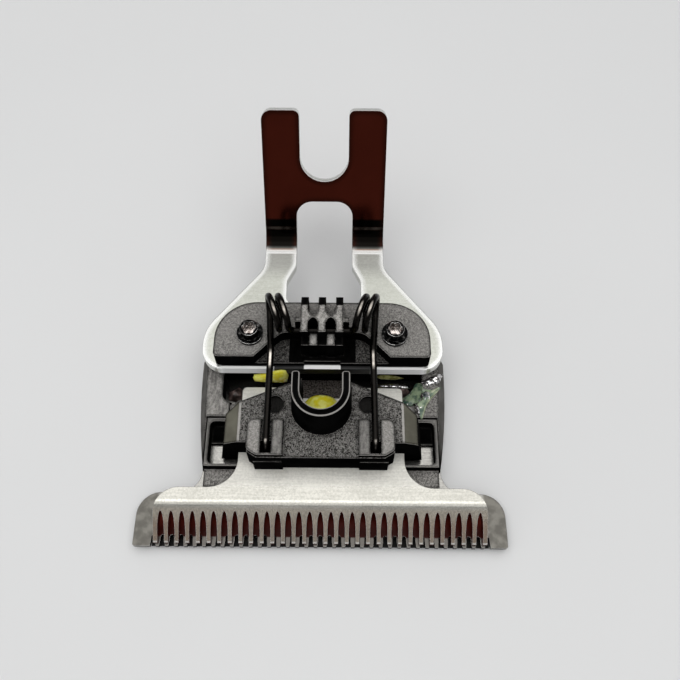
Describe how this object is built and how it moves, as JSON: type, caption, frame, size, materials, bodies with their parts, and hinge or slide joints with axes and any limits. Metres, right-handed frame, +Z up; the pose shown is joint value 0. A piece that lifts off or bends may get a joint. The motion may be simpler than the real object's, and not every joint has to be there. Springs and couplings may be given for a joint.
{
  "type": "trimmer blade set",
  "caption": "T-shaped trimmer blade set: toothed comb blade, spring-pressed sliding cutter with a drive cup, and a bent fork bracket that clips into the clipper.",
  "frame": {"origin": "centre of the bounding box in plan, on the plane the comb blade lies on", "axes": "+X across the blade, +Y from the comb teeth back to the fork, +Z up from the comb blade"},
  "size_m": [0.0404, 0.0448, 0.0207],
  "materials": {
    "blade_steel": "satin, ground",
    "bracket_steel": "satin",
    "black_plastic": "matte, lightly grained",
    "spring_wire": "black oxide",
    "screw_steel": "black oxide"
  },
  "bodies": {
    "frame": {"fixed_blade": "blade_steel", "base_frame": "black_plastic", "fork_bracket": "bracket_steel", "spring_holder": "black_plastic", "torsion_spring": "spring_wire", "clamp_screws": "screw_steel"},
    "cutter": {"cutter_blade": "blade_steel", "drive_carrier": "black_plastic"}
  },
  "joints": [
    {"name": "cutter_slide", "type": "slide", "parent": "frame", "child": "cutter", "axis": [1, 0, 0], "range_m": [-0.0012, 0.0012], "deforming": ["torsion_spring"]}
  ]
}
